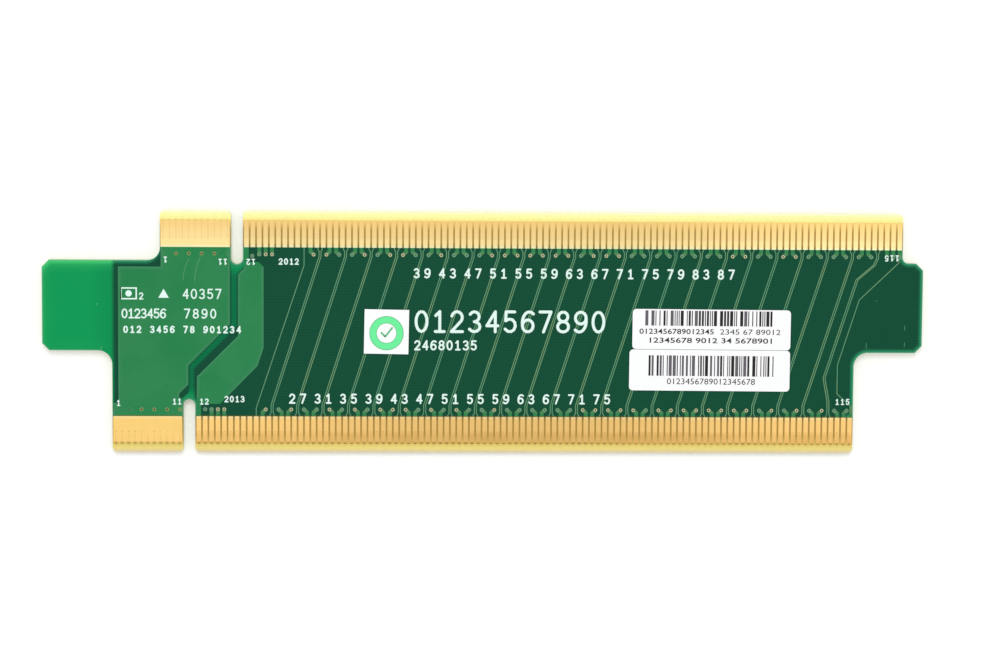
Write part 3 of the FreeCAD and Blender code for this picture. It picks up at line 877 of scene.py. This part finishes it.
# the pen strokes of each figure, in a cell that is CELL_WIDTH wide and 1 high
nine = [arc(0.275, 0.7, 0.27, 0.3, 0, 360, 15), arc(0.2, 0.55, 0.35, 0.55, 12, -125)]
pen_strokes = {
    "0": [arc(0.275, 0.5, 0.275, 0.5, 90, 450, 17)],
    "1": [[(0.1, 0.8), (0.3, 1.0)], [(0.3, 1.0), (0.3, 0.0)], [(0.08, 0.0), (0.52, 0.0)]],
    "2": [arc(0.275, 0.71, 0.265, 0.29, 165, -35) + [(0.0, 0.0)], [(0.0, 0.0), (0.55, 0.0)]],
    "3": [arc(0.26, 0.75, 0.24, 0.25, 150, -90), arc(0.26, 0.25, 0.28, 0.25, 90, -150)],
    "4": [[(0.42, 0.0), (0.42, 1.0)], [(0.42, 1.0), (0.0, 0.3)], [(0.0, 0.3), (0.55, 0.3)]],
    "5": [[(0.5, 1.0), (0.08, 1.0)], [(0.08, 1.0), (0.05, 0.56)],
          arc(0.26, 0.32, 0.28, 0.32, 132, -145)],
    "6": [[(CELL_WIDTH - x, 1.0 - y) for x, y in stroke] for stroke in nine],
    "7": [[(0.0, 1.0), (0.55, 1.0)], [(0.55, 1.0), (0.18, 0.0)]],
    "8": [arc(0.275, 0.76, 0.235, 0.24, 90, 450, 15),
          arc(0.275, 0.26, 0.275, 0.26, 90, 450, 15)],
    "9": nine,
}


def rounded_ends(points, pen):
    """A stroke's points with the pen's round ends added, each with the width there."""
    if points[0] == points[-1]:
        return [(point, 1.0) for point in points]
    result = [(point, 1.0) for point in points]
    for inner, end, at_start in ((points[1], points[0], True), (points[-2], points[-1], False)):
        length = math.hypot(end[0] - inner[0], end[1] - inner[1])
        way = ((end[0] - inner[0]) / length, (end[1] - inner[1]) / length)
        cap = []
        for turn in (30, 60, 90):
            reach = pen / 2 * math.sin(math.radians(turn))
            width = max(math.cos(math.radians(turn)), 0.02)
            cap.append(((end[0] + way[0] * reach, end[1] + way[1] * reach), width))
        result = cap[::-1] + result if at_start else result + cap
    return result


def figures(text, centre, height, pitch, pen, turned=False):
    """A row of plain figures drawn with a round pen, a pitch apart, about a centre."""
    deselect_all()
    scale = height - pen
    curve = bpy.data.curves.new("figures", "CURVE")
    curve.dimensions = "3D"
    curve.bevel_depth = pen / 2 * MM
    curve.bevel_resolution = 2
    left = -(len(text) - 1) / 2 * pitch - CELL_WIDTH / 2 * scale
    for place, figure in enumerate(text):
        for stroke in pen_strokes.get(figure, []):
            points = [(left + place * pitch + x * scale, (y - 0.5) * scale)
                      for x, y in stroke]
            points = rounded_ends(points, pen)
            spline = curve.splines.new("POLY")
            spline.points.add(len(points) - 1)
            for point, ((x, y), width) in zip(spline.points, points):
                point.co = (x * MM, y * MM, 0.0, 1.0)
                point.radius = width
    piece = bpy.data.objects.new("figures", curve)
    bpy.context.collection.objects.link(piece)
    piece.select_set(True)
    bpy.context.view_layer.objects.active = piece
    bpy.ops.object.convert(target="MESH")
    piece = bpy.context.object
    piece.location = (centre[0] * MM, centre[1] * MM, FRONT_TOP * MM)
    piece.rotation_euler.z = math.pi if turned else 0.0
    piece.scale.z = INK_HEIGHT / (pen / 2)
    set_material(piece, white_ink)
    return piece


white_ink = ink_material("white_ink", paint(216, 244, 234), paint(236, 254, 248))
board_figures = [
    figures("01234567890", (3.95, 1.75), 3.65, 2.79, 0.5),
    figures("24680135", (-6.2, -2.0), 1.65, 1.27, 0.3),
    figures("2", (-53.9, 5.6), 1.15, 1.0, 0.22),
    figures("40357", (-44.4, 5.95), 1.65, 1.27, 0.24),
    figures("0123456", (-53.5, 2.85), 1.6, 1.0, 0.26),
    figures("7890", (-44.7, 2.85), 1.6, 1.36, 0.25),
    figures("012 3456 78 901234", (-47.5, 0.35), 1.2, 1.04, 0.26),
    figures("2012", (-30.85, 11.1), 1.05, 0.84, 0.22),
    figures("2013", (-39.35, -10.6), 1.05, 0.84, 0.22),
]
join_pieces(board_figures, "board_figures")

contact_figures = [
    figures("1", (-50.1, 11.3), 1.0, 0.8, 0.2, True),
    figures("11", (-41.15, 11.0), 1.0, 0.8, 0.2, True),
    figures("12", (-36.75, 11.0), 1.0, 0.8, 0.2, True),
    figures("115", (64.35, 12.05), 1.0, 0.84, 0.2, True),
    figures("1", (-57.5, -11.25), 1.0, 0.8, 0.2),
    figures("11", (-48.35, -11.0), 1.0, 0.8, 0.2),
    figures("12", (-44.1, -11.0), 1.0, 0.8, 0.2),
    figures("115", (56.85, -10.8), 1.0, 0.84, 0.2),
]
for pairs, shift, height in ((range(4, 17), 0.0, 9.35), (range(1, 14), LOWER_SHIFT, -10.5)):
    for pair in pairs:
        contact_figures.append(figures(str(23 + 4 * pair), (pair_middle(pair) + shift, height),
                                       1.65, 1.7, 0.3))
join_pieces(contact_figures, "contact_figures")


def bar(x, y, width, height, level, ink, turn=0.0):
    """A flat printed bar about a place, turned by some degrees."""
    deselect_all()
    bpy.ops.mesh.primitive_plane_add(size=1.0)
    piece = bpy.context.object
    piece.scale = (width * MM, height * MM, 1.0)
    piece.rotation_euler.z = math.radians(turn)
    piece.location = (x * MM, y * MM, level * MM)
    set_material(piece, ink)
    return piece


def disc(x, y, radius, level, ink, corners=64):
    """A flat printed shape with equal corners, about a place."""
    deselect_all()
    bpy.ops.mesh.primitive_circle_add(vertices=corners, radius=radius * MM, fill_type="NGON",
                                      location=(x * MM, y * MM, level * MM))
    piece = bpy.context.object
    set_material(piece, ink)
    return piece


def leave_border(width):
    """Takes the middle out of the flat shape made last."""
    bpy.ops.object.mode_set(mode="EDIT")
    bpy.ops.mesh.select_all(action="SELECT")
    bpy.ops.mesh.inset(thickness=width * MM, depth=0)
    bpy.ops.mesh.delete(type="FACE")
    bpy.ops.object.mode_set(mode="OBJECT")


def printed_frame():
    """A printed frame round a dot, and a triangle beside it."""
    level = FRONT_TOP + 0.008
    border = bar(-55.85, 6.0, 2.6, 1.9, level, white_ink)
    bpy.ops.object.transform_apply(location=False, rotation=False, scale=True)
    leave_border(0.22)
    dot = disc(-55.85, 6.0, 0.5, level, white_ink, 20)
    triangle = disc(-50.4, 5.8, 0.95, level, white_ink, 3)
    join_pieces([border, dot, triangle], "printed_frame")


printed_frame()


# ---- the labels: three white paper labels, stuck on by hand. Two carry bars and plain
# numbers in black, the small one a green ring with a tick.

def paper_material():
    """Smooth white paper with a faint mottle, and painted shade on its cut edges."""
    material = new_material("white_paper", 0.6, 0.2)
    tree = material.node_tree
    colour = blend(tree, speckle(tree, 1.5), paint(254, 254, 254), paint(248, 249, 250))
    # painted shade: the paper's cut edges are painted grey
    colour = blend(tree, cut_side(tree), colour, paint(176, 180, 174))
    colour_surface(tree, colour)
    bump(tree, speckle(tree, 0.2), 0.1, 0.01)
    return material


dress(paper_material(), "serial_label", "stock_label", "inspection_label")

PAPER_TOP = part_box("serial_label")[1].z / MM
PAPER_INK_LEVEL = PAPER_TOP - 0.012    # the typed figures are solid, and start inside the paper
BAR_UNIT = 0.16                        # the width of the thinnest bar
LABEL_TILT = math.radians(-0.35)
black_ink = ink_material("black_ink", paint(44, 42, 44), paint(14, 13, 15))
grey_ink = ink_material("grey_ink", paint(110, 106, 112), paint(84, 80, 88))


def bars(left, right, bottom, top, seed, inks):
    """A row of upright bars of one to three widths, between two sides."""
    widths = random.Random(seed)
    pieces = []
    x = left
    while x < right - 0.5:
        width = BAR_UNIT * widths.choice((1, 1, 2, 3))
        pieces.append(bar(x + width / 2, (bottom + top) / 2, width, top - bottom,
                          PAPER_TOP + 0.006, widths.choice(inks)))
        x += width + BAR_UNIT * widths.choice((1, 1, 2, 3))
    return pieces


def typed(text, centre, width, height, ink, bold=0.0):
    """Typed figures fitted into a box round a centre. Returns them as a mesh object."""
    deselect_all()
    bpy.ops.object.text_add(location=(0, 0, 0))
    piece = bpy.context.object
    piece.data.body = text
    piece.data.resolution_u = 3
    piece.data.extrude = 0.02
    piece.data.offset = bold
    bpy.ops.object.convert(target="MESH")
    piece = bpy.context.object
    xs = [vertex.co.x for vertex in piece.data.vertices]
    ys = [vertex.co.y for vertex in piece.data.vertices]
    scale_x = width * MM / (max(xs) - min(xs))
    scale_y = height * MM / (max(ys) - min(ys))
    piece.scale = (scale_x, scale_y, MM)
    piece.location = (centre[0] * MM - scale_x * (max(xs) + min(xs)) / 2,
                      centre[1] * MM - scale_y * (max(ys) + min(ys)) / 2, PAPER_INK_LEVEL * MM)
    set_material(piece, ink)
    return piece


def tilt_print(piece, middle):
    """Turns a label's print with its label, about the label's middle."""
    deselect_all()
    piece.select_set(True)
    bpy.context.view_layer.objects.active = piece
    middle = Vector((*middle, 0.0)) * MM
    turn = Matrix.Rotation(LABEL_TILT, 4, "Z")
    piece.matrix_world = Matrix.Translation(middle) @ turn @ Matrix.Translation(-middle)
    bpy.ops.object.transform_apply(location=True, rotation=True, scale=True)


serial_print = bars(25.3, 46.2, 1.2, 3.6, 11, (black_ink, black_ink, grey_ink)) + [
    typed("0123456789012345", (30.3, 0.3), 11.8, 0.85, black_ink, 0.012),
    typed("2345 67 89012", (42.0, 0.3), 9.6, 0.85, black_ink),
    typed("12345678 9012 34 5678901", (35.75, -1.1), 19.4, 0.85, black_ink, 0.012),
]
tilt_print(join_pieces(serial_print, "serial_label_print"), (35.85, 0.64))
stock_print = bars(25.9, 46.3, -6.75, -3.5, 23, (black_ink, grey_ink, grey_ink)) + [
    typed("0123456789012345678", (35.85, -7.6), 14.0, 0.95, black_ink),
]
tilt_print(join_pieces(stock_print, "stock_label_print"), (35.6, -5.85))


def ring(outer, inner, lift, ink):
    """A flat ring round the middle of the small label."""
    piece = disc(-15.5, -0.1, outer, PAPER_TOP + lift, ink)
    leave_border(outer - inner)
    return piece


mint_ink = ink_material("mint_ink", paint(120, 244, 166), paint(96, 236, 146))
green_ink = ink_material("green_ink", paint(120, 200, 150), paint(90, 178, 126))
inspection_print = [
    ring(2.62, 1.6, 0.006, mint_ink),
    ring(2.7, 2.58, 0.009, green_ink),
    ring(1.64, 1.54, 0.009, green_ink),
    bar(-16.05, -0.3, 0.95, 0.3, PAPER_TOP + 0.008, green_ink, -45),
    bar(-15.15, 0.05, 2.0, 0.3, PAPER_TOP + 0.008, green_ink, 52),
]
join_pieces(inspection_print, "inspection_label_print")


# ---- the table and the light: a white table, an even white room and a soft lamp beyond
# the card's upper edge, which throws a faint shadow along its lower edges.

def seen_directly(tree):
    """1 for the camera, for reflections and through glass, and 0 for the light on things."""
    rays = tree.nodes.new("ShaderNodeLightPath")
    return largest(tree, rays.outputs["Is Camera Ray"], rays.outputs["Is Glossy Ray"],
                   rays.outputs["Is Transmission Ray"])


TABLE_WHITE = 0.95
TABLE_GLOW = 0.11            # lifts the table to plain white
ROOM_LIGHT = 0.8             # on things. Where the room itself is seen, it is plain white


def table_material():
    """Matt white, lifted to plain white where it is seen, shadows apart."""
    material = new_material("table_white", 0.9, 0.0)
    tree = material.node_tree
    shader = tree.nodes["Principled BSDF"]
    shader.inputs["Base Color"].default_value = (TABLE_WHITE, TABLE_WHITE, TABLE_WHITE, 1)
    glow = tree.nodes.new("ShaderNodeEmission")
    tree.links.new(times(tree, seen_directly(tree), TABLE_GLOW), glow.inputs["Strength"])
    both = tree.nodes.new("ShaderNodeAddShader")
    tree.links.new(shader.outputs[0], both.inputs[0])
    tree.links.new(glow.outputs[0], both.inputs[1])
    tree.links.new(both.outputs[0], tree.nodes["Material Output"].inputs["Surface"])
    return material


TABLE_LEVEL = -0.03          # just under the vias on the card's back
deselect_all()
bpy.ops.mesh.primitive_plane_add(size=4.0, location=(0, 0, TABLE_LEVEL * MM))
table = bpy.context.object
table.name = "table"
set_material(table, table_material())

world = bpy.data.worlds.new("white_room")
bpy.context.scene.world = world
world.use_nodes = True
room = world.node_tree.nodes["Background"]
room.inputs["Color"].default_value = (1, 1, 1, 1)
room_light = math_node(world.node_tree, "MULTIPLY_ADD", seen_directly(world.node_tree),
                       1.0 - ROOM_LIGHT, ROOM_LIGHT)
world.node_tree.links.new(room_light, room.inputs["Strength"])

bpy.ops.object.light_add(type="AREA", location=(-0.03, 0.35, 0.66))
lamp = bpy.context.object
lamp.name = "soft_lamp"
lamp.data.size = 0.3
lamp.data.energy = 1.45
lamp.rotation_euler = (math.radians(-28), 0, 0)

bpy.context.scene.view_settings.view_transform = "Standard"
